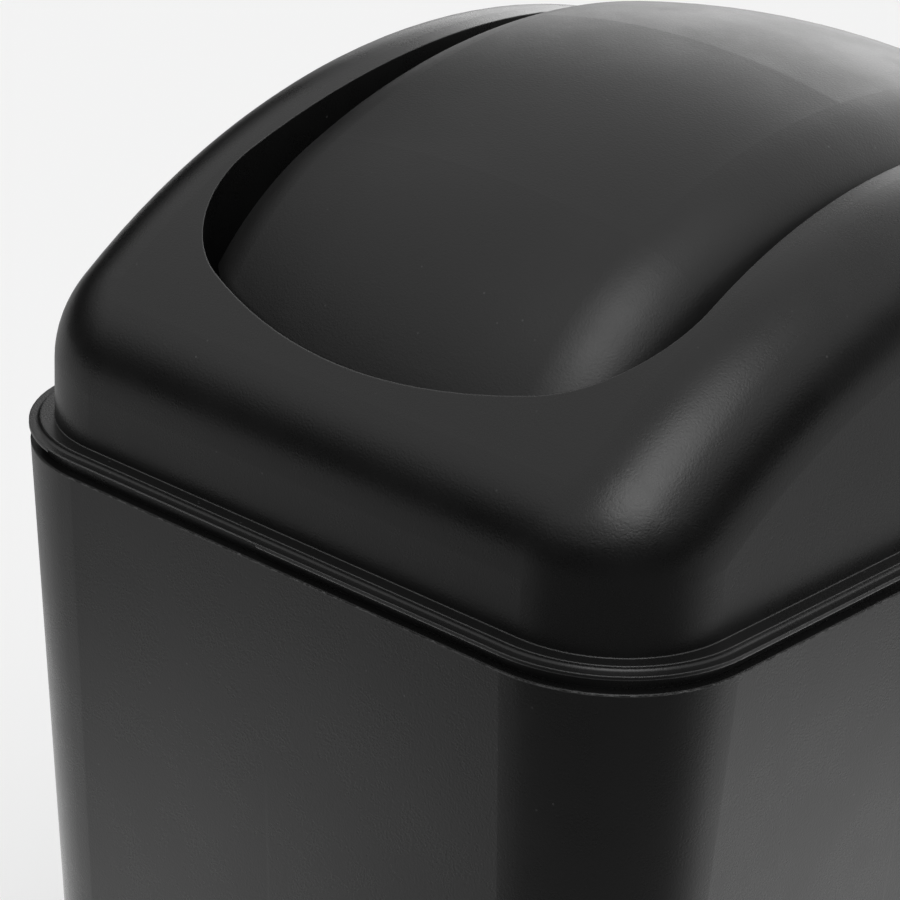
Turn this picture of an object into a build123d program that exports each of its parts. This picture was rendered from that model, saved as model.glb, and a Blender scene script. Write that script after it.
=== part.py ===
"""Countertop waste bin: tapered can, hood lid and a flap that swings on two pins.

Frame: X across the narrow faces, Y from front (-Y) to back, +Z up. The origin is
at the centre of the underside, on the surface that the bin stands on. Millimetres.
"""
import os
from math import asin, degrees, hypot, radians, tan

from build123d import *

# ---------------------------------------------------------------- driving dimensions
# can
CAN_HEIGHT = 190.0        # floor line to the rim that the lid sits on
CAN_DRAFT = 3.4           # lean of every wall, degrees
CAN_WALL = 2.4
CAN_FLOOR = 2.2
FOOT_HEIGHT = 1.5         # ring under the floor
FOOT_WIDTH = 4.0
CAN_EDGE = 1.4            # rounding of the foot's outer edge
RIM_EDGE = 0.3            # rounding of the rim's outer edge

# lid: ledge and skirt
LEDGE_WIDTH = 150.0       # X, over the ledge's outer edge
LEDGE_DEPTH = 200.0       # Y
LEDGE_CORNER = 25.2       # plan radius of the ledge's corners
LEDGE_INSET = 2.6         # ledge edge to the hood's wall
LEDGE_THICKNESS = 1.5     # ledge top to the skirt's lower edge
SKIRT_FLARE = 2.0         # skirt beyond the ledge's edge
SKIRT_LIP = 0.7           # height of the skirt's outer edge
SKIRT_COVE = 0.7          # hollow curve from the lip up to the ledge
SEAT_HEIGHT = 2.6         # seat ring, skirt's lower edge to the rim
SEAT_INSET = 2.15         # seat ring inside the skirt's outer face
PLUG_DEPTH = 12.0         # locating wall inside the can
PLUG_WALL = 1.6
PLUG_CLEARANCE = 0.35     # locating wall to the can, each side
RIM_OVERHANG = 0.25       # skirt beyond the can's rim
RELIEF_HEIGHT = 0.5       # shallow lifting relief under the skirt
RELIEF_FROM = -56.0       # its two ends along the front
RELIEF_TO = -4.0

# lid: hood
HOOD_RISE = 56.7          # apex over the ledge
HOOD_ARCH = 144.9         # front-to-back radius of the top
HOOD_ROUND = 19.3         # rounding of the shoulders and sides
HOOD_WALL = 2.0

# opening in the hood
MOUTH_WAIST = 98.8        # X, at the middle of its sides
MOUTH_BOW = 4.0           # how far each side bows out towards the front and back
MOUTH_DEPTH = 173.2       # Y, at the middle of its ends
MOUTH_END_RADIUS = 102.4  # its ends are shallow arcs
MOUTH_CORNER = 23.4
FLANGE_WALL = 1.6         # wall turned down round the opening
FLANGE_FOOT = 20.0        # its lower edge over the ledge

# flap
FLAP_RISE = 66.2          # crown's apex over the ledge
FLAP_TOP_RADIUS = 136.8   # front-to-back radius at the middle
FLAP_TOP_REACH = 55.0     # half the length of that arc, in Y
FLAP_END_ANGLE = 60.0     # turn of each end arc, past the opening's end
FLAP_END_RADIUS = 66.0    # tighter arc down to each end
FLAP_CROWN = 7.8          # fall from the middle to the sides
FLAP_SHOULDER = 19.5      # rounding into the turned-down sides
FLAP_WALL = 1.8
FLAP_SIDE_GAP = 0.7       # flap to the opening's waist
FLAP_END_GAP = 1.1        # flap to the opening's ends
FLAP_SWING_GAP = 0.8      # flap to the opening's ends as it swings past them
FLAP_FOOT = 24.0          # lower edge of its sides over the ledge

# pivot
PIVOT_HEIGHT = 49.5       # axis over the ledge
PIN_RADIUS = 2.5
PIN_HEAD_RADIUS = 4.2
PIN_HEAD_HEIGHT = 1.6
PIN_REACH = 5.0           # pin inside the cheek's socket
PIN_CHAMFER = 0.5
EAR_CLEARANCE = 0.04      # pin in the flap's ear, radial
SOCKET_CLEARANCE = 0.08   # pin in the cheek's socket, radial
SOCKET_WALL = 2.0
SOCKET_END = 1.2          # closed end of the socket, and the pin's end gap
PIN_END_GAP = 0.6
EAR_RADIUS = 5.5          # thick pad round the pin, inside the flap's side
EAR_THICKNESS = 3.8

# ---------------------------------------------------------------- derived places
TAPER = tan(radians(CAN_DRAFT))
LEDGE_Z = CAN_HEIGHT + SEAT_HEIGHT + LEDGE_THICKNESS
SKIRT_Z = LEDGE_Z - LEDGE_THICKNESS
SKIRT_X = LEDGE_WIDTH / 2 + SKIRT_FLARE
SKIRT_Y = LEDGE_DEPTH / 2 + SKIRT_FLARE
SKIRT_CORNER = LEDGE_CORNER + SKIRT_FLARE
RIM_X = SKIRT_X - RIM_OVERHANG
RIM_Y = SKIRT_Y - RIM_OVERHANG
RIM_CORNER = SKIRT_CORNER - RIM_OVERHANG
HOOD_X = LEDGE_WIDTH / 2 - LEDGE_INSET
HOOD_Y = LEDGE_DEPTH / 2 - LEDGE_INSET
HOOD_CORNER = LEDGE_CORNER - LEDGE_INSET
HOOD_INSIDE = HOOD_ROUND - HOOD_WALL
PLUG_INSET = CAN_WALL + PLUG_CLEARANCE + PLUG_DEPTH * TAPER
PLUG_X = RIM_X - PLUG_INSET
PLUG_Y = RIM_Y - PLUG_INSET
PLUG_CORNER = RIM_CORNER - PLUG_INSET
PIVOT_Z = LEDGE_Z + PIVOT_HEIGHT
FLAP_X = MOUTH_WAIST / 2 - FLAP_SIDE_GAP
FLANGE_Z = LEDGE_Z + FLANGE_FOOT
CHEEK_X = MOUTH_WAIST / 2 + FLANGE_WALL
SOCKET_X = MOUTH_WAIST / 2 + PIN_REACH + PIN_END_GAP + SOCKET_END
PIN_TIP_X = MOUTH_WAIST / 2 + PIN_REACH
EAR_X = FLAP_X - FLAP_WALL - EAR_THICKNESS
FLAP_APEX = LEDGE_Z + FLAP_RISE
FLAP_SIDE_DEPTH = FLAP_RISE - FLAP_FOOT + FLAP_WALL
FLAP_TOP_ANGLE = degrees(asin(FLAP_TOP_REACH / FLAP_TOP_RADIUS))

os.makedirs("parts", exist_ok=True)


def mouth_outline(grow):
    """Plan outline of the hood's opening, grown outwards by an amount."""
    waist = MOUTH_WAIST / 2 + grow
    reach = MOUTH_DEPTH / 2 + grow
    corner_x = waist + MOUTH_BOW
    sag = corner_x**2 / (2 * MOUTH_END_RADIUS)
    side_y = reach - sag
    with BuildLine() as line:
        ThreePointArc((corner_x, -side_y), (waist, 0), (corner_x, side_y))
        ThreePointArc((corner_x, side_y), (0, reach), (-corner_x, side_y))
        ThreePointArc((-corner_x, side_y), (-waist, 0), (-corner_x, -side_y))
        ThreePointArc((-corner_x, -side_y), (0, -reach), (corner_x, -side_y))
    with BuildSketch() as sketch:
        make_face(line.edges())
        fillet(sketch.vertices(), MOUTH_CORNER + grow)
    return sketch.sketch


def hood_core():
    """Arched block that the hood's outer and inner faces are even offsets of."""
    half_x = HOOD_X - HOOD_ROUND
    half_y = HOOD_Y - HOOD_ROUND
    radius = HOOD_ARCH - HOOD_ROUND
    apex = LEDGE_Z + HOOD_RISE - HOOD_ROUND
    end_z = apex - radius + (radius**2 - half_y**2) ** 0.5
    foot = LEDGE_Z - 2 * HOOD_ROUND
    with BuildPart() as core:
        with BuildSketch(Plane.YZ):
            with BuildLine():
                Polyline((-half_y, end_z), (-half_y, foot), (half_y, foot), (half_y, end_z))
                ThreePointArc((-half_y, end_z), (0, apex), (half_y, end_z))
            make_face()
        extrude(amount=half_x, both=True)
        fillet(core.edges().filter_by(Axis.Z), HOOD_CORNER - HOOD_ROUND)
    return core.part


def flap_section(inset):
    """Cross-section of the flap: crowned top, rounded shoulders and straight sides."""
    half = FLAP_X - inset
    top = FLAP_APEX - inset
    shoulder = top - FLAP_CROWN
    foot = FLAP_APEX - FLAP_SIDE_DEPTH - inset
    with BuildSketch() as sketch:
        with BuildLine():
            ThreePointArc((-half, shoulder), (0, top), (half, shoulder))
            Polyline((half, shoulder), (half, foot), (-half, foot), (-half, shoulder))
        make_face()
        fillet(sketch.vertices().group_by(Axis.Y)[-1], FLAP_SHOULDER - inset)
    return sketch.sketch


def swing_radius(y):
    """Furthest that the flap may reach from its pivot to pass the opening's edge."""
    edge_z = LEDGE_Z + HOOD_RISE - HOOD_ARCH + (HOOD_ARCH**2 - y**2) ** 0.5
    return hypot(y, PIVOT_Z - edge_z) - FLAP_SWING_GAP


# ---------------------------------------------------------------- can
with BuildPart() as can:
    with BuildSketch(Plane.XY.offset(CAN_HEIGHT)):
        RectangleRounded(2 * RIM_X, 2 * RIM_Y, RIM_CORNER)
    extrude(amount=-CAN_HEIGHT, taper=CAN_DRAFT)
    fillet(can.faces().sort_by(Axis.Z)[0].edges(), CAN_EDGE)
    fillet(can.faces().sort_by(Axis.Z)[-1].edges(), RIM_EDGE)
    # inside, drawn in by the wall
    with BuildSketch(Plane.XY.offset(CAN_HEIGHT)):
        RectangleRounded(
            2 * (RIM_X - CAN_WALL), 2 * (RIM_Y - CAN_WALL), RIM_CORNER - CAN_WALL
        )
    extrude(
        amount=-(CAN_HEIGHT - FOOT_HEIGHT - CAN_FLOOR), taper=CAN_DRAFT, mode=Mode.SUBTRACT
    )
    # recess under the floor, inside the foot ring
    foot_inset = FOOT_WIDTH + CAN_HEIGHT * TAPER
    with BuildSketch():
        RectangleRounded(
            2 * (RIM_X - foot_inset), 2 * (RIM_Y - foot_inset), RIM_CORNER - foot_inset
        )
    extrude(amount=FOOT_HEIGHT, mode=Mode.SUBTRACT)
can.part.label = "can"

# ---------------------------------------------------------------- lid
core_block = hood_core()
hood_outside = offset(core_block, amount=HOOD_ROUND, kind=Kind.ARC)
hood_inside = offset(core_block, amount=HOOD_INSIDE, kind=Kind.ARC)

with BuildPart() as mouth_flange:
    with BuildSketch(Plane.XY.offset(FLANGE_Z)):
        add(mouth_outline(FLANGE_WALL))
        add(mouth_outline(0), mode=Mode.SUBTRACT)
    extrude(amount=HOOD_RISE)
    add(hood_outside, mode=Mode.INTERSECT)

with BuildPart() as lid:
    add(hood_outside)
    split(bisect_by=Plane.XY.offset(SKIRT_Z), keep=Keep.TOP)
    # ledge, standing out from the hood's wall
    with BuildSketch(Plane.XY.offset(SKIRT_Z)):
        RectangleRounded(LEDGE_WIDTH, LEDGE_DEPTH, LEDGE_CORNER)
    extrude(amount=LEDGE_THICKNESS)
    # skirt's lip round the ledge, with a hollow curve up to the ledge
    with BuildSketch(Plane.XY.offset(SKIRT_Z)):
        RectangleRounded(2 * SKIRT_X, 2 * SKIRT_Y, SKIRT_CORNER)
    extrude(amount=SKIRT_LIP)
    lip_top = lid.faces().filter_by(Axis.Z).filter_by_position(
        Axis.Z, SKIRT_Z + SKIRT_LIP - 0.01, SKIRT_Z + SKIRT_LIP + 0.01
    )
    fillet(lip_top.face().inner_wires()[0].edges(), SKIRT_COVE)
    # seat ring on the can's rim
    with BuildSketch(Plane.XY.offset(CAN_HEIGHT)):
        RectangleRounded(
            2 * (SKIRT_X - SEAT_INSET), 2 * (SKIRT_Y - SEAT_INSET), SKIRT_CORNER - SEAT_INSET
        )
    extrude(amount=SEAT_HEIGHT)
    # locating wall inside the can
    with BuildSketch(Plane.XY.offset(CAN_HEIGHT - PLUG_DEPTH)):
        RectangleRounded(2 * PLUG_X, 2 * PLUG_Y, PLUG_CORNER)
    extrude(amount=PLUG_DEPTH)
    # hollow of the hood, then of the locating wall
    add(hood_inside, mode=Mode.SUBTRACT)
    with BuildSketch(Plane.XY.offset(CAN_HEIGHT - PLUG_DEPTH)):
        RectangleRounded(
            2 * (PLUG_X - PLUG_WALL), 2 * (PLUG_Y - PLUG_WALL), PLUG_CORNER - PLUG_WALL
        )
    extrude(amount=PLUG_DEPTH + SEAT_HEIGHT + LEDGE_THICKNESS, mode=Mode.SUBTRACT)
    # opening, with the wall turned down round it
    add(mouth_flange.part)
    with BuildSketch(Plane.XY.offset(FLANGE_Z)):
        add(mouth_outline(0))
    extrude(amount=2 * HOOD_RISE, mode=Mode.SUBTRACT)
    # sockets behind the cheeks
    for side in (-1, 1):
        with BuildSketch(Plane.YZ.offset(side * SOCKET_X)):
            with Locations((0, PIVOT_Z)):
                Circle(PIN_RADIUS + SOCKET_CLEARANCE + SOCKET_WALL)
        extrude(amount=-side * (SOCKET_X - CHEEK_X + FLANGE_WALL / 2))
        with BuildSketch(Plane.YZ.offset(side * (SOCKET_X - SOCKET_END))):
            with Locations((0, PIVOT_Z)):
                Circle(PIN_RADIUS + SOCKET_CLEARANCE)
        extrude(amount=-side * (SOCKET_X - SOCKET_END), mode=Mode.SUBTRACT)
    # shallow lifting relief under the front skirt
    with BuildSketch(Plane.XZ.offset(SKIRT_Y + RELIEF_HEIGHT)):
        with Locations(((RELIEF_FROM + RELIEF_TO) / 2, SKIRT_Z)):
            Rectangle(RELIEF_TO - RELIEF_FROM, 2 * RELIEF_HEIGHT)
    extrude(amount=-(SEAT_INSET + RELIEF_HEIGHT), mode=Mode.SUBTRACT)
lid.part.label = "lid"

# ---------------------------------------------------------------- flap
with BuildLine(Plane.YZ) as flap_arch:
    top_arc = CenterArc(
        (0, FLAP_APEX - FLAP_TOP_RADIUS), FLAP_TOP_RADIUS, 90, -FLAP_TOP_ANGLE
    )
    JernArc(top_arc @ 1, top_arc % 1, FLAP_END_RADIUS, -FLAP_END_ANGLE)

with BuildPart() as flap_hollow:
    with BuildSketch(Plane.XZ):
        add(flap_section(FLAP_WALL))
    sweep(path=flap_arch.line)
    mirror(about=Plane.XZ)
    # pads left standing round the pins
    for side in (-1, 1):
        with BuildSketch(Plane.YZ.offset(side * EAR_X)):
            with Locations((0, PIVOT_Z)):
                Circle(EAR_RADIUS)
        extrude(amount=side * (FLAP_X - EAR_X), mode=Mode.SUBTRACT)

# the opening's corner in plan, and the turned shape that clears it as the flap swings
mouth_corners = mouth_outline(0).edges().filter_by(
    lambda edge: abs(edge.radius - MOUTH_CORNER) < 0.01
)
corner_arc = mouth_corners.sort_by(Axis.X)[-1]
corner_tip, corner_base = sorted((corner_arc @ 0, corner_arc @ 1), key=lambda point: point.X)
corner_middle = corner_arc @ 0.5
tip_radius = swing_radius(corner_tip.Y)
with BuildPart() as swing_envelope:
    with BuildSketch(Plane(origin=(0, 0, PIVOT_Z), x_dir=(1, 0, 0), z_dir=(0, -1, 0))):
        with BuildLine():
            ThreePointArc(
                (-corner_tip.X, tip_radius),
                (0, swing_radius(MOUTH_DEPTH / 2)),
                (corner_tip.X, tip_radius),
            )
            Polyline(
                (corner_tip.X, tip_radius),
                (corner_middle.X, swing_radius(corner_middle.Y)),
                (corner_base.X, swing_radius(corner_base.Y)),
                (corner_base.X, 0),
                (-corner_base.X, 0),
                (-corner_base.X, swing_radius(corner_base.Y)),
                (-corner_middle.X, swing_radius(corner_middle.Y)),
                (-corner_tip.X, tip_radius),
            )
        make_face()
    revolve(axis=Axis((0, 0, PIVOT_Z), (1, 0, 0)))

with BuildPart() as flap:
    # crowned block swept over the arch, front half mirrored from the back half
    with BuildSketch(Plane.XZ):
        add(flap_section(0))
    sweep(path=flap_arch.line)
    mirror(about=Plane.XZ)
    add(flap_hollow.part, mode=Mode.SUBTRACT)
    # flat lower edge, and ends that follow the opening
    with BuildSketch(Plane.XY.offset(LEDGE_Z + FLAP_FOOT)):
        add(mouth_outline(-FLAP_END_GAP))
    extrude(amount=FLAP_RISE, mode=Mode.INTERSECT)
    add(swing_envelope.part, mode=Mode.INTERSECT)
    # bores for the pins
    for side in (-1, 1):
        with BuildSketch(Plane.YZ.offset(side * EAR_X)):
            with Locations((0, PIVOT_Z)):
                Circle(PIN_RADIUS + EAR_CLEARANCE)
        extrude(amount=side * (FLAP_X - EAR_X), mode=Mode.SUBTRACT)
flap.part.label = "flap"

# ---------------------------------------------------------------- pivot pins
with BuildPart() as pivot_pin_right:
    with BuildSketch(Plane.YZ.offset(EAR_X)):
        with Locations((0, PIVOT_Z)):
            Circle(PIN_RADIUS)
    extrude(amount=PIN_TIP_X - EAR_X)
    chamfer(pivot_pin_right.faces().sort_by(Axis.X)[-1].edges(), PIN_CHAMFER)
    with BuildSketch(Plane.YZ.offset(EAR_X)):
        with Locations((0, PIVOT_Z)):
            Circle(PIN_HEAD_RADIUS)
    extrude(amount=-PIN_HEAD_HEIGHT)
    fillet(pivot_pin_right.faces().sort_by(Axis.X)[0].edges(), PIN_CHAMFER)
pivot_pin_right.part.label = "pivot_pin_right"

with BuildPart() as pivot_pin_left:
    mirror(pivot_pin_right.part, about=Plane.YZ)
pivot_pin_left.part.label = "pivot_pin_left"

export_step(can.part, "parts/can.step")
export_step(lid.part, "parts/lid.step")
export_step(flap.part, "parts/flap.step")
export_step(pivot_pin_left.part, "parts/pivot_pin_left.step")
export_step(pivot_pin_right.part, "parts/pivot_pin_right.step")

swinging = [flap.part, pivot_pin_left.part, pivot_pin_right.part]
moment = sum(piece.volume * piece.center(CenterOf.MASS).Z for piece in swinging)
centre_z = moment / sum(piece.volume for piece in swinging)
print(f"flap's centre of mass lies {PIVOT_Z - centre_z:.1f} mm under its pivot")
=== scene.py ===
"""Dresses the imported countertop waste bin: moulded plastic finishes, a pale studio, the camera."""
import math

import bpy
from bpy.props import FloatProperty, FloatVectorProperty, PointerProperty
from mathutils import Matrix, Vector


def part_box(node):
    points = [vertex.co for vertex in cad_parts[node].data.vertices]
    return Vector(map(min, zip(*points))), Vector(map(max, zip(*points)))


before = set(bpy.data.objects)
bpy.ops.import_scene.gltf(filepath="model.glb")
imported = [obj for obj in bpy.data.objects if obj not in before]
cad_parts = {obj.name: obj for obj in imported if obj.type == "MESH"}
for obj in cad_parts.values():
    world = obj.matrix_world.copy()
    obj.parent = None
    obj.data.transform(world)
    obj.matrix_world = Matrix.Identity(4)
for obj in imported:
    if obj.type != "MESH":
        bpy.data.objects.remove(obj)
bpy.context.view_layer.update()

bl_info = {
    "name": "Swing Lid Waste Bin",
    "version": (1, 0, 0),
    "blender": (4, 5, 0),
    "location": "View3D > Sidebar > Waste Bin",
    "description": "Finishes, studio and camera for a countertop waste bin with a swing lid",
    "category": "Object",
}

MM = 0.001

# the photograph's frame, and the camera that a fit of the rim, arch and walls gives
FRAME_PX = 900
SENSOR_MM = 36.0
FOCAL_PX = 3651.0
CENTRE_PX = (365.2, 535.0)          # where the lens's axis meets the frame
CAMERA_TURN = 0.743                 # radians round the bin from its front
CAMERA_RISE = 0.440
CAMERA_ROLL = 0.035
CAMERA_DISTANCE = 0.7391
CAMERA_TARGET = (-0.0731, 0.0, 0.1382)

# soft lights: azimuth from +X towards +Y, and height, both in degrees
SOFTBOX_AT = (-38.1, 58.8)
OVERHEAD = (0.0, 90.0)
WINDOW_AT = (98.4, 0.0)
PAPER_LIT_FROM = (126.7, 0.0)
# and the cosines of the angles from there between which each one fades
SOFTBOX_FADE = (0.86, 1.0)
CEILING_FADE = (0.259, 0.622)
WINDOW_FADE = (0.672, 0.926)
PAPER_FADE = (-0.772, -0.18)

BACKDROP = 0.89                     # radiance of the pale backdrop
FLOOR_REACH = 3.0
PAPER_COLOUR = "b3b3b3"
PAPER_FILL = 0.46                   # brings the paper up to the backdrop's tone
PAPER_UNLIT = 0.25                  # share of the light on the paper's far side from it
PAPER_NEAR, PAPER_FAR = 0.22, 0.42  # metres from the bin's middle
PAPER_OUTER = 0.39                  # share of the light beyond that

# moulded plastic, sizes in millimetres
PLASTIC_IOR = 1.49
WARP_SIZE, WARP_DEPTH = 42.0, 0.2   # sink and warp of a thin wall as it cools
CLOUD_SIZE = 14.0                   # cloudy change of shine from handling
GRAIN_DULLS = 0.08
# paler edges: partly rubbed wear, partly a painted highlight line along the rounded edges
RUBBED_AND_HIGHLIGHT, RUB_AND_HIGHLIGHT_SHARE = "666666", 0.6
DUST, DUST_SHARE = "8c8c8c", 0.17
DUST_SPACING, DUST_PATCH = 3.4, 7.0
# the can's top-edge flash is real, and its pale line is a painted highlight; the same pale tone
# draws the faint upright lines
PALE_LINE_TONE, FLASH_HIGHLIGHT_SHARE = "707070", 0.6
FLASH_DULLS = 0.2
FLASH_CHIP = 1.4                    # size of its chips
FLASH_DROP, FLASH_WANDER = 0.68, 0.7  # its lowest place under the edge, and its range
# faint pale upright lines on the lower walls, fading out above a given height
UPRIGHT_LINE_SHARE = 0.07
UPRIGHT_LINE_WIDTH = 0.5
UPRIGHT_LINE_TOP, UPRIGHT_LINE_FADE = 145.0, 7.0
UPRIGHT_LINES_AT = (("X", -3.1), ("Y", -21.2))


def linear(code):
    """Linear RGBA of an sRGB hex colour."""
    out = []
    for i in (0, 2, 4):
        v = int(code[i:i + 2], 16) / 255
        out.append(v / 12.92 if v <= 0.04045 else ((v + 0.055) / 1.055) ** 2.4)
    return (*out, 1.0)


def add(tree, kind, inputs=None, **settings):
    """Adds a node, sets its settings, and sets or links its inputs."""
    node = tree.nodes.new(kind)
    for name, value in settings.items():
        setattr(node, name, value)
    for key, value in (inputs or {}).items():
        if isinstance(value, bpy.types.NodeSocket):
            tree.links.new(value, node.inputs[key])
        else:
            node.inputs[key].default_value = value
    return node


def new_tree(material):
    """Empties a material's or world's node tree and hands it back."""
    material.use_nodes = True
    material.node_tree.nodes.clear()
    return material.node_tree


def ramp(tree, value, low, high, to_low=0.0, to_high=1.0):
    """Eases a value from one range to another, held at both ends."""
    return add(
        tree, "ShaderNodeMapRange",
        {"Value": value, "From Min": low, "From Max": high, "To Min": to_low, "To Max": to_high},
        interpolation_type="SMOOTHSTEP",
    ).outputs[0]


def times(tree, first, second):
    """Multiplies two values."""
    return add(
        tree, "ShaderNodeMath", {0: first, 1: second}, operation="MULTIPLY"
    ).outputs[0]


def distance(tree, first, second):
    """How far apart two values are."""
    gap = add(tree, "ShaderNodeMath", {0: first, 1: second}, operation="SUBTRACT").outputs[0]
    return add(tree, "ShaderNodeMath", {0: gap}, operation="ABSOLUTE").outputs[0]


def noise(tree, place, size_mm, detail=0.0, roughness=0.5):
    """Noise whose features are about the given size in millimetres."""
    return add(
        tree, "ShaderNodeTexNoise",
        {"Vector": place, "Scale": 1 / (size_mm * MM), "Detail": detail, "Roughness": roughness},
    ).outputs["Fac"]


def blend(tree, amount, first, second):
    """Mixes two colours, which are the Mix node's sockets 6 and 7."""
    return add(
        tree, "ShaderNodeMix", {"Factor": amount, 6: first, 7: second}, data_type="RGBA"
    ).outputs[2]


# ---------------------------------------------------------------- finishes
def moulded_plastic(name, colour, finish, shift, polish=0.0, top_edge=None):
    """Injection-moulded plastic from a spark-eroded mould.

    Near-black and neutral; all that the eye gets is its satin sheen, broken by the
    mould's fine grain, a little paler along the edges from rubbed wear and a painted
    highlight, with some dust in the grain.
    """
    material = bpy.data.materials.new(name)
    tree = new_tree(material)
    spot = add(tree, "ShaderNodeTexCoord").outputs["Object"]
    place = add(tree, "ShaderNodeMapping", {"Vector": spot, "Location": shift}).outputs[0]

    # the grain is really about 0.1 mm, drawn coarse enough to show
    grain = noise(tree, place, finish.grain, 2.0, 0.6)
    warp = noise(tree, place, WARP_SIZE, 1.0, 0.4)
    cloud = noise(tree, place, CLOUD_SIZE, 5.0, 0.62)
    # dust: specks of about 0.2 mm, in patches
    cell = add(
        tree, "ShaderNodeTexVoronoi", {"Vector": place, "Scale": 1 / (DUST_SPACING * MM)},
        feature="F1",
    ).outputs["Distance"]
    speck = ramp(tree, cell, 0.025, 0.08, 1.0, 0.0)
    patch = ramp(tree, noise(tree, place, DUST_PATCH), 0.54, 0.66)
    dust = times(tree, speck, patch)

    # rounded edges, told from flat faces by how far the normals turn apart
    rounded = add(tree, "ShaderNodeBevel", {"Radius": finish.edge * MM}, samples=6).outputs[0]
    flat = add(tree, "ShaderNodeNewGeometry").outputs["Normal"]
    turn = add(
        tree, "ShaderNodeVectorMath", {0: rounded, 1: flat}, operation="DOT_PRODUCT"
    ).outputs["Value"]
    edge = ramp(tree, turn, 0.995, 0.88)

    darker = tuple(c * 0.8 for c in colour) + (1.0,)
    lighter = tuple(c * 1.25 for c in colour) + (1.0,)
    tone = blend(tree, cloud, darker, lighter)
    # paler along the rounded edges: rubbed wear and a painted highlight
    tone = blend(tree, times(tree, edge, RUB_AND_HIGHLIGHT_SHARE), tone, linear(RUBBED_AND_HIGHLIGHT))
    tone = blend(tree, times(tree, dust, DUST_SHARE), tone, linear(DUST))
    even = finish.roughness - polish
    shine = ramp(tree, cloud, 0.3, 0.7, even - 0.02, even + 0.03)
    if top_edge:
        # painted highlight along the can's top edge, on its real flash
        tone, shine = flash_and_highlight_line(tree, spot, top_edge, tone, shine)
        tone = pale_upright_lines(tree, spot, tone)
    shine = add(
        tree, "ShaderNodeMath", {0: grain, 1: GRAIN_DULLS, 2: shine}, operation="MULTIPLY_ADD"
    ).outputs[0]

    wave = add(
        tree, "ShaderNodeBump",
        {"Strength": 1.0, "Distance": WARP_DEPTH * MM, "Height": warp, "Normal": rounded},
    ).outputs[0]
    relief = add(
        tree, "ShaderNodeBump",
        {"Strength": 1.0, "Distance": finish.grain_depth * MM, "Height": grain, "Normal": wave},
    ).outputs[0]
    shader = add(
        tree, "ShaderNodeBsdfPrincipled",
        {"Base Color": tone, "Roughness": shine, "IOR": PLASTIC_IOR, "Normal": relief},
    )
    add(tree, "ShaderNodeOutputMaterial", {"Surface": shader.outputs[0]})
    return material


def flash_and_highlight_line(tree, spot, height, tone, shine):
    """Ragged flash along the can's top edge where the mould halves met, drawn as a thin pale line
    that is a painted highlight on it.
    """
    z = add(tree, "ShaderNodeSeparateXYZ", {"Vector": spot}).outputs["Z"]
    ragged = noise(tree, spot, FLASH_CHIP, 4.0, 0.7)
    # a thin pale line, a painted highlight on the flash, that wanders by a few tenths of a
    # millimetre, chipped in places
    border = add(
        tree, "ShaderNodeMath",
        {0: ragged, 1: FLASH_WANDER * MM, 2: height - FLASH_DROP * MM},
        operation="MULTIPLY_ADD",
    ).outputs[0]
    line = ramp(tree, distance(tree, z, border), 0.06 * MM, 0.16 * MM, 1.0, 0.0)
    chip = ramp(tree, ragged, 0.42, 0.60, 0.2, 1.0)
    pale = times(tree, times(tree, line, chip), FLASH_HIGHLIGHT_SHARE)
    duller = add(
        tree, "ShaderNodeMath", {0: line, 1: FLASH_DULLS, 2: shine}, operation="MULTIPLY_ADD"
    ).outputs[0]
    return blend(tree, pale, tone, linear(PALE_LINE_TONE)), duller


def pale_upright_lines(tree, spot, tone):
    """Faint pale upright lines on the lower part of the walls, fading out upwards."""
    parts = add(tree, "ShaderNodeSeparateXYZ", {"Vector": spot}).outputs
    low = ramp(
        tree, parts["Z"],
        (UPRIGHT_LINE_TOP + UPRIGHT_LINE_FADE) * MM, (UPRIGHT_LINE_TOP - UPRIGHT_LINE_FADE) * MM,
    )
    for axis, line_at in UPRIGHT_LINES_AT:
        off = distance(tree, parts[axis], line_at * MM)
        line = ramp(tree, off, 0.0, UPRIGHT_LINE_WIDTH * MM, UPRIGHT_LINE_SHARE, 0.0)
        tone = blend(tree, times(tree, line, low), tone, linear(PALE_LINE_TONE))
    return tone


def dress(node, material):
    """Gives a CAD node its finish."""
    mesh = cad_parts[node].data
    mesh.materials.clear()
    mesh.materials.append(material)


# ---------------------------------------------------------------- settings
class BinFinish(bpy.types.PropertyGroup):
    """Finish of the bin's mouldings."""

    can_colour: FloatVectorProperty(
        name="Can", description="Colour of the can", default=linear("171717")[:3],
        min=0.0, max=1.0, subtype="COLOR",
    )
    lid_colour: FloatVectorProperty(
        name="Lid", description="Colour of the lid", default=linear("161616")[:3],
        min=0.0, max=1.0, subtype="COLOR",
    )
    flap_colour: FloatVectorProperty(
        name="Flap", description="Colour of the flap", default=linear("171717")[:3],
        min=0.0, max=1.0, subtype="COLOR",
    )
    pin_colour: FloatVectorProperty(
        name="Pins", description="Colour of the pivot pins", default=linear("1d1d1d")[:3],
        min=0.0, max=1.0, subtype="COLOR",
    )
    roughness: FloatProperty(
        name="Roughness", description="Roughness of the satin mouldings",
        default=0.24, min=0.15, max=0.8, subtype="FACTOR",
    )
    grain: FloatProperty(
        name="Grain", description="Size of the mould's spark-eroded grain, in millimetres",
        default=0.42, min=0.2, max=1.0,
    )
    grain_depth: FloatProperty(
        name="Grain Depth", description="Depth of the grain, in millimetres",
        default=0.035, min=0.0, max=0.05,
    )
    edge: FloatProperty(
        name="Edge Rounding", description="Rounding of the moulded edges, in millimetres",
        default=0.35, min=0.1, max=1.0,
    )


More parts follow.
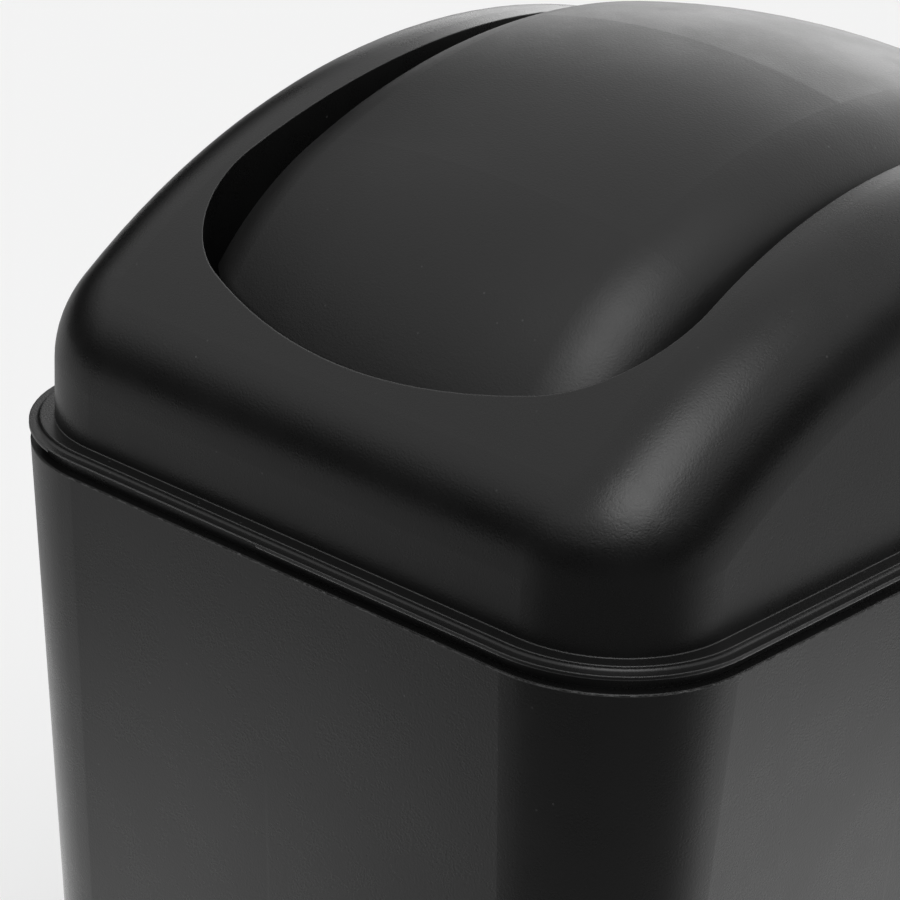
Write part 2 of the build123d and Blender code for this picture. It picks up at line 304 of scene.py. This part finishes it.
class BinStudio(bpy.types.PropertyGroup):
    """Brightness of the studio's soft lights."""

    ceiling: FloatProperty(
        name="Ceiling", description="Brightness of the white ceiling", default=0.67, min=0.0,
    )
    softbox: FloatProperty(
        name="Softbox", description="Brightness that the softbox over the camera adds",
        default=2.7, min=0.0,
    )
    window: FloatProperty(
        name="Rear Light", description="Brightness of the low light behind the bin",
        default=2.85, min=0.0,
    )
    paper: FloatProperty(
        name="Paper", description="Brightness of the paper's lit side as the bin mirrors it",
        default=1.12, min=0.0,
    )


# ---------------------------------------------------------------- operators
class BIN_OT_can(bpy.types.Operator):
    """Gives the can its moulded finish"""

    bl_idname = "bin.can"
    bl_label = "Can"

    def execute(self, context):
        s = context.scene.bin_finish
        dress("can", moulded_plastic(
            "moulded polypropylene, can", s.can_colour, s,
            shift=(0.0, 0.0, 0.0), top_edge=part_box("can")[1][2],
        ))
        return {"FINISHED"}


class BIN_OT_lid(bpy.types.Operator):
    """Gives the lid its moulded finish"""

    bl_idname = "bin.lid"
    bl_label = "Lid"

    def execute(self, context):
        s = context.scene.bin_finish
        dress("lid", moulded_plastic(
            "moulded polypropylene, lid", s.lid_colour, s, shift=(0.31, 0.17, 0.0),
        ))
        return {"FINISHED"}


class BIN_OT_flap(bpy.types.Operator):
    """Gives the flap its moulded finish, a little duller than the lid's"""

    bl_idname = "bin.flap"
    bl_label = "Flap"

    def execute(self, context):
        s = context.scene.bin_finish
        dress("flap", moulded_plastic(
            "moulded polypropylene, flap", s.flap_colour, s,
            shift=(0.11, 0.57, 0.0), polish=-0.12,
        ))
        return {"FINISHED"}


class BIN_OT_pins(bpy.types.Operator):
    """Gives the two pivot pins a smoother moulded finish"""

    bl_idname = "bin.pins"
    bl_label = "Pivot Pins"

    def execute(self, context):
        s = context.scene.bin_finish
        material = moulded_plastic(
            "moulded acetal, pins", s.pin_colour, s, shift=(0.7, 0.0, 0.0), polish=0.08,
        )
        dress("pivot_pin_left", material)
        dress("pivot_pin_right", material)
        return {"FINISHED"}


class BIN_OT_stage(bpy.types.Operator):
    """Makes the pale floor, the studio's soft light and the camera"""

    bl_idname = "bin.stage"
    bl_label = "Studio"

    def execute(self, context):
        scene = context.scene
        scene.view_settings.view_transform = "Standard"
        self.floor(scene)
        self.world(scene)
        self.camera(scene)
        return {"FINISHED"}

    def backdrop_rays(self, tree):
        """1 for rays that show the pale backdrop: the camera's, and those seen through
        glass or off a mirror-sharp surface."""
        path = add(tree, "ShaderNodeLightPath").outputs
        mirror = times(tree, path["Is Glossy Ray"], path["Is Singular Ray"])
        seen = add(
            tree, "ShaderNodeMath", {0: path["Is Camera Ray"], 1: mirror}, operation="MAXIMUM"
        ).outputs[0]
        return add(
            tree, "ShaderNodeMath", {0: seen, 1: path["Is Transmission Ray"]},
            operation="MAXIMUM",
        ).outputs[0]

    def towards(self, tree, way, place):
        """How closely a direction points to a place given by its azimuth and height."""
        turn, rise = math.radians(place[0]), math.radians(place[1])
        aim = (
            math.cos(turn) * math.cos(rise), math.sin(turn) * math.cos(rise), math.sin(rise)
        )
        return add(
            tree, "ShaderNodeVectorMath", {0: way, 1: aim}, operation="DOT_PRODUCT"
        ).outputs["Value"]

    def floor(self, scene):
        """Paper sweep: white to the camera, and lit from one side as the bin mirrors it."""
        mesh = bpy.data.meshes.new("floor")
        reach = FLOOR_REACH
        mesh.from_pydata(
            [(-reach, -reach, 0), (reach, -reach, 0), (reach, reach, 0), (-reach, reach, 0)],
            [], [(0, 1, 2, 3)],
        )
        floor = bpy.data.objects.new("floor", mesh)
        scene.collection.objects.link(floor)
        material = bpy.data.materials.new("matt paper sweep")
        tree = new_tree(material)
        # seen directly: white paper that keeps the bin's soft shadow
        paper = add(tree, "ShaderNodeBsdfDiffuse", {"Color": linear(PAPER_COLOUR)}).outputs[0]
        fill = add(tree, "ShaderNodeEmission", {"Strength": PAPER_FILL}).outputs[0]
        white = add(tree, "ShaderNodeAddShader", {0: paper, 1: fill}).outputs[0]
        # as the bin mirrors it: lit from the left and behind, and near the bin
        spot = add(tree, "ShaderNodeTexCoord").outputs["Object"]
        way = add(tree, "ShaderNodeVectorMath", {0: spot}, operation="NORMALIZE").outputs[0]
        far = add(tree, "ShaderNodeVectorMath", {0: spot}, operation="LENGTH").outputs["Value"]
        lit = scene.bin_studio.paper
        side = ramp(
            tree, self.towards(tree, way, PAPER_LIT_FROM), *PAPER_FADE, PAPER_UNLIT * lit, lit
        )
        near = ramp(tree, far, PAPER_NEAR, PAPER_FAR, 1.0, PAPER_OUTER)
        mirrored = add(
            tree, "ShaderNodeEmission", {"Strength": times(tree, side, near)}
        ).outputs[0]
        surface = add(
            tree, "ShaderNodeMixShader", {0: self.backdrop_rays(tree), 1: mirrored, 2: white}
        ).outputs[0]
        add(tree, "ShaderNodeOutputMaterial", {"Surface": surface})
        mesh.materials.append(material)

    def world(self, scene):
        """White room: a ceiling, a softbox over the camera and a low light behind the bin."""
        s = scene.bin_studio
        world = bpy.data.worlds.new("studio")
        scene.world = world
        tree = new_tree(world)
        way = add(tree, "ShaderNodeTexCoord").outputs["Generated"]
        softbox = ramp(
            tree, self.towards(tree, way, SOFTBOX_AT), *SOFTBOX_FADE, s.ceiling,
            s.ceiling + s.softbox,
        )
        raised = ramp(tree, self.towards(tree, way, OVERHEAD), *CEILING_FADE)
        above = times(tree, softbox, raised)
        behind = ramp(tree, self.towards(tree, way, WINDOW_AT), *WINDOW_FADE, 0.0, s.window)
        glow = add(
            tree, "ShaderNodeMath", {0: above, 1: behind}, operation="MAXIMUM"
        ).outputs[0]
        plain = linear("ffffff")
        room = add(
            tree, "ShaderNodeBackground", {"Color": plain, "Strength": glow}
        ).outputs[0]
        white = add(
            tree, "ShaderNodeBackground", {"Color": plain, "Strength": BACKDROP}
        ).outputs[0]
        surface = add(
            tree, "ShaderNodeMixShader", {0: self.backdrop_rays(tree), 1: room, 2: white}
        ).outputs[0]
        add(tree, "ShaderNodeOutputWorld", {"Surface": surface})

    def camera(self, scene):
        """The photograph's view."""
        turn, rise, roll = CAMERA_TURN, CAMERA_RISE, CAMERA_ROLL
        back = Vector((
            math.sin(turn) * math.cos(rise), -math.cos(turn) * math.cos(rise), math.sin(rise)
        ))
        right = (-back).cross(Vector((0, 0, 1))).normalized()
        up = right.cross(-back)
        across = right * math.cos(roll) + up * math.sin(roll)
        over = up * math.cos(roll) - right * math.sin(roll)
        lens = bpy.data.cameras.new("camera")
        lens.sensor_width = SENSOR_MM
        lens.lens = FOCAL_PX / FRAME_PX * SENSOR_MM
        lens.shift_x = (FRAME_PX / 2 - CENTRE_PX[0]) / FRAME_PX
        lens.shift_y = (CENTRE_PX[1] - FRAME_PX / 2) / FRAME_PX
        lens.clip_start, lens.clip_end = 0.05, 20
        camera = bpy.data.objects.new("camera", lens)
        place = Vector(CAMERA_TARGET) + back * CAMERA_DISTANCE
        camera.matrix_world = Matrix((
            (across.x, over.x, back.x, place.x),
            (across.y, over.y, back.y, place.y),
            (across.z, over.z, back.z, place.z),
            (0, 0, 0, 1),
        ))
        scene.collection.objects.link(camera)
        scene.camera = camera


class BIN_PT_panel(bpy.types.Panel):
    """Lists the bin's settings and pieces"""

    bl_label = "Waste Bin"
    bl_idname = "BIN_PT_panel"
    bl_space_type = "VIEW_3D"
    bl_region_type = "UI"
    bl_category = "Waste Bin"

    def draw(self, context):
        layout = self.layout
        for group in (context.scene.bin_finish, context.scene.bin_studio):
            for name in group.__annotations__:
                layout.prop(group, name)
        for step in STEPS:
            layout.operator(step.bl_idname)


STEPS = (BIN_OT_can, BIN_OT_lid, BIN_OT_flap, BIN_OT_pins, BIN_OT_stage)
CLASSES = (BinFinish, BinStudio, *STEPS, BIN_PT_panel)


def register():
    for cls in CLASSES:
        bpy.utils.register_class(cls)
    bpy.types.Scene.bin_finish = PointerProperty(type=BinFinish)
    bpy.types.Scene.bin_studio = PointerProperty(type=BinStudio)


def unregister():
    del bpy.types.Scene.bin_studio
    del bpy.types.Scene.bin_finish
    for cls in reversed(CLASSES):
        bpy.utils.unregister_class(cls)


def main():
    """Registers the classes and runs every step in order."""
    register()
    bpy.ops.bin.can()
    bpy.ops.bin.lid()
    bpy.ops.bin.flap()
    bpy.ops.bin.pins()
    bpy.ops.bin.stage()


if __name__ == "__main__":
    main()
